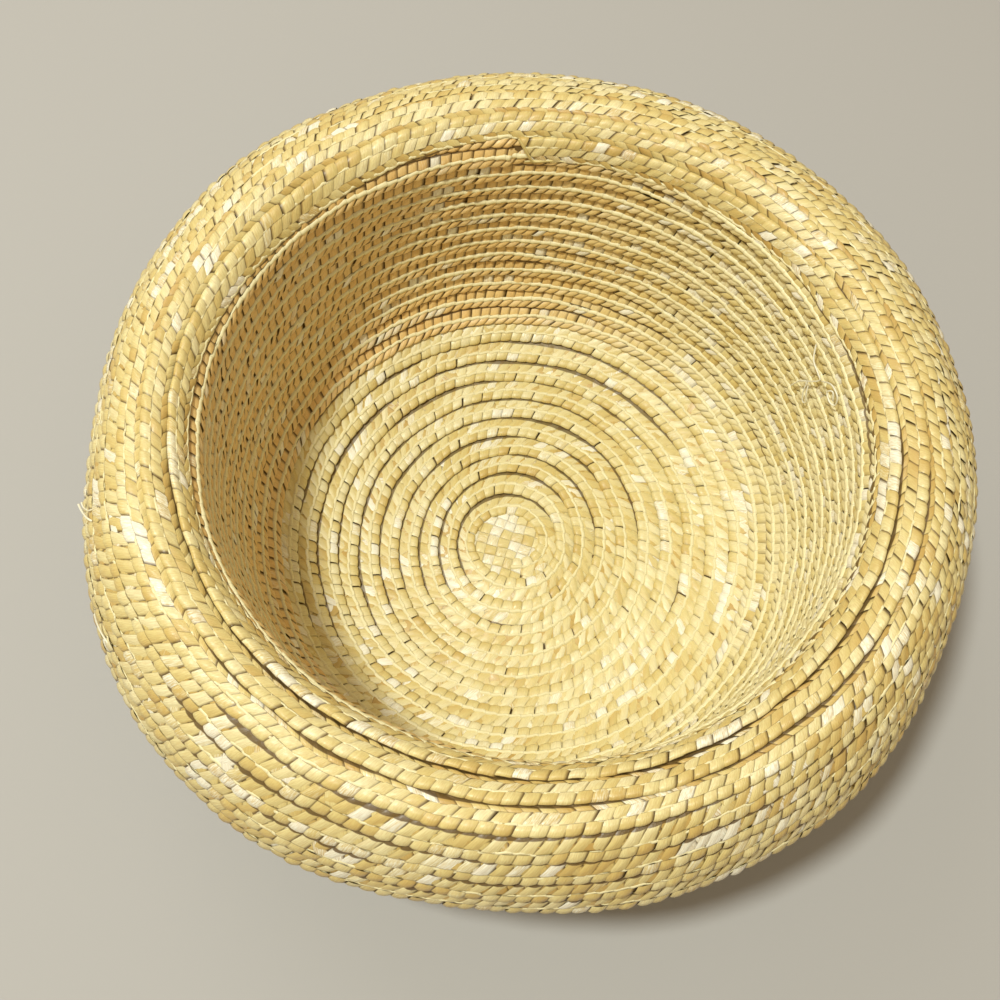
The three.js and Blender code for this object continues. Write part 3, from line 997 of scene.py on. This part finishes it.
def crown_pieces(line, under, core):
    """Inside and outside of the crown, its folds, both patches of weave, the
    inner layer, and the tangle of thread on the wall."""
    tip = straw_material("straw_tip", TIP_LOOK)
    side = straw_material("straw_side", SIDE_LOOK)
    half = TIP_ROWS + SIDE_ROWS / 2
    lap = SPLIT_OVERLAP
    return [
        plait_piece("tip_inside", crown_run(CROWN_START_TURN, TIP_ROWS + lap, cell=TIP_CELL),
                    TIP_COLUMNS, tip, 1),
        plait_piece("side_inside", crown_run(TIP_ROWS - lap, half + lap), SIDE_COLUMNS, side, 2),
        plait_piece("side_inside_upper", crown_run(half - lap, CROWN_LAST_TURN),
                    SIDE_COLUMNS, side, 7),
        fold_line("tip_fold", crown_run(CROWN_START_TURN, TIP_ROWS, cell=TIP_CELL), TIP_FOLD, line),
        fold_line("side_fold", crown_run(TIP_ROWS, CROWN_LAST_TURN), SIDE_FOLD, line),
        plait_piece("crown_outside", crown_run(CROWN_START_TURN, CROWN_ROWS, False, TIP_CELL),
                    TIP_COLUMNS, under, 3, True),
        woven_middle("tip_weave", tip),
        woven_middle("rest_weave", under, True),
        core_shell("crown_core", 0.5, CROWN_END - 1.0, core),
        loose_bit("thread_loop", THREAD_LOOP, 0.26, line),
        loose_bit("thread_end", THREAD_END, 0.24, line),
        loose_bit("thread_knot", THREAD_KNOT, 0.26, line),
    ]


def brim_pieces(line, under, core):
    """Face and underside of the brim, its folds, the inner layer, its edge, its
    folded start and the loose ends of straw."""
    leaf = straw_material("straw_brim", BRIM_LOOK)
    lap = SPLIT_OVERLAP
    return [
        plait_piece("brim_face_inner",
                    brim_run(BRIM_FIRST_TURN, BRIM_SPLIT_TURN + lap, cut=BRIM_END_CUT),
                    BRIM_INNER_COLUMNS, leaf, 4),
        plait_piece("brim_face_outer", brim_run(BRIM_SPLIT_TURN - lap, BRIM_ROWS),
                    BRIM_OUTER_COLUMNS, leaf, 10),
        plait_piece("brim_underside", brim_run(BRIM_UNDER_TURN, BRIM_ROWS, True),
                    TIP_COLUMNS, under, 5, True),
        fold_line("brim_fold", brim_run(1.0, BRIM_ROWS), BRIM_FOLD, line),
        fold_line("brim_inner_edge", brim_run(1.0, 2.02), BRIM_INNER_EDGE, line),
        core_shell("brim_core", BRIM_START + 1.0, BRIM_START + BRIM_ROWS * BRIM_PITCH - 1.5, core),
        swept_round("folded_start", folded_start_path(), 0.42, 8, line),
        swept_round("brim_rim", rim_path(), 0.52, 6, under),
        loose_bit("straw_end_left", STRAW_END_LEFT, 0.30, line),
        loose_bit("straw_end_fork", STRAW_END_FORK, 0.24, line),
        loose_bit("straw_end_near", STRAW_END_NEAR, 0.26, line),
    ]


def make_hat():
    line = straw_material("straw_fold", FOLD_LOOK)
    under = straw_material("straw_underside", UNDER_LOOK)
    core = core_material()
    for piece in crown_pieces(line, under, core):
        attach(piece, "root")
        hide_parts("crown")
    for piece in brim_pieces(line, under, core):
        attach(piece, "root")
        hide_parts("brim")


# Stage: lights in metres, camera and floor in millimetres

CAMERA_ELEVATION = math.radians(66.47)
CAMERA_ROLL = math.radians(9.155)
CAMERA_DISTANCE = 326.2
CAMERA_AIM_HEIGHT = 56.25
CAMERA_PAN = (-0.026, -0.016)
CAMERA_LENS = 39.6
SENSOR = 36.0
FLOOR_HALF = 2500.0
KEY_PLACE, KEY_SIZE, KEY_POWER = (-0.43, -0.17, 1.43), 0.16, 18.1
KEY_COLOUR = (0.98, 1.0, 0.92)
FILL_PLACE, FILL_SIZE, FILL_POWER = (-0.9, 1.0, 1.3), 1.2, 5.0
FILL_COLOUR = (1.0, 0.97, 0.93)
WORLD_COLOUR, WORLD_STRENGTH = (1.0, 0.80, 0.55, 1.0), 0.46


def placed(data, place, axes):
    """Object for camera or light data, at a place in metres, with its axes."""
    thing = bpy.data.objects.new(data.name, data)
    turn = Matrix(axes).transposed().to_4x4()
    turn.translation = place
    thing.matrix_world = turn
    bpy.context.scene.collection.objects.link(thing)
    return thing


def unit(vector):
    return vector / np.linalg.norm(vector)


def make_camera():
    """Camera at the photograph's angle: it looks down at the hat's axis, is
    rolled, and then turned a little aside to frame the hat."""
    cos, sin = math.cos(CAMERA_ELEVATION), math.sin(CAMERA_ELEVATION)
    back = np.array([0.0, -cos, sin])
    up = np.array([0.0, sin, cos])
    right = np.array([1.0, 0.0, 0.0])
    x = math.cos(CAMERA_ROLL) * right + math.sin(CAMERA_ROLL) * up
    y = -math.sin(CAMERA_ROLL) * right + math.cos(CAMERA_ROLL) * up
    z = unit(back - CAMERA_PAN[0] * x - CAMERA_PAN[1] * y)
    x = unit(np.cross(y, z))
    y = np.cross(z, x)
    aim = np.array([AXIS[0], AXIS[1], AXIS[2] + CAMERA_AIM_HEIGHT])
    data = bpy.data.cameras.new("camera")
    data.lens = CAMERA_LENS
    data.sensor_width = SENSOR
    data.clip_start = 0.01
    bpy.context.scene.camera = placed(data, (aim + CAMERA_DISTANCE * back) * MM, [x, y, z])


def aimed_light(name, place, size, power, colour):
    """Round light at a place, facing the origin."""
    data = bpy.data.lights.new(name, "AREA")
    data.shape = "DISK"
    data.size = size
    data.energy = power
    data.color = colour
    back = unit(np.array(place))
    x = unit(np.cross([0.0, 0.0, 1.0], back))
    placed(data, place, [x, np.cross(back, x), back])


def make_stage():
    corners = np.array([[-1, -1, 0], [1, -1, 0], [1, 1, 0], [-1, 1, 0]]) * FLOOR_HALF
    floor = new_mesh("floor", corners, np.array([[0, 1, 2, 3]]), floor_material())
    aimed_light("key", KEY_PLACE, KEY_SIZE, KEY_POWER, KEY_COLOUR)
    aimed_light("fill", FILL_PLACE, FILL_SIZE, FILL_POWER, FILL_COLOUR)
    world = bpy.data.worlds.new("studio")
    world.use_nodes = True
    background = world.node_tree.nodes["Background"]
    background.inputs["Color"].default_value = WORLD_COLOUR
    background.inputs["Strength"].default_value = WORLD_STRENGTH
    bpy.context.scene.world = world
    bpy.context.scene.view_settings.view_transform = "Standard"


make_hat()
make_camera()
make_stage()
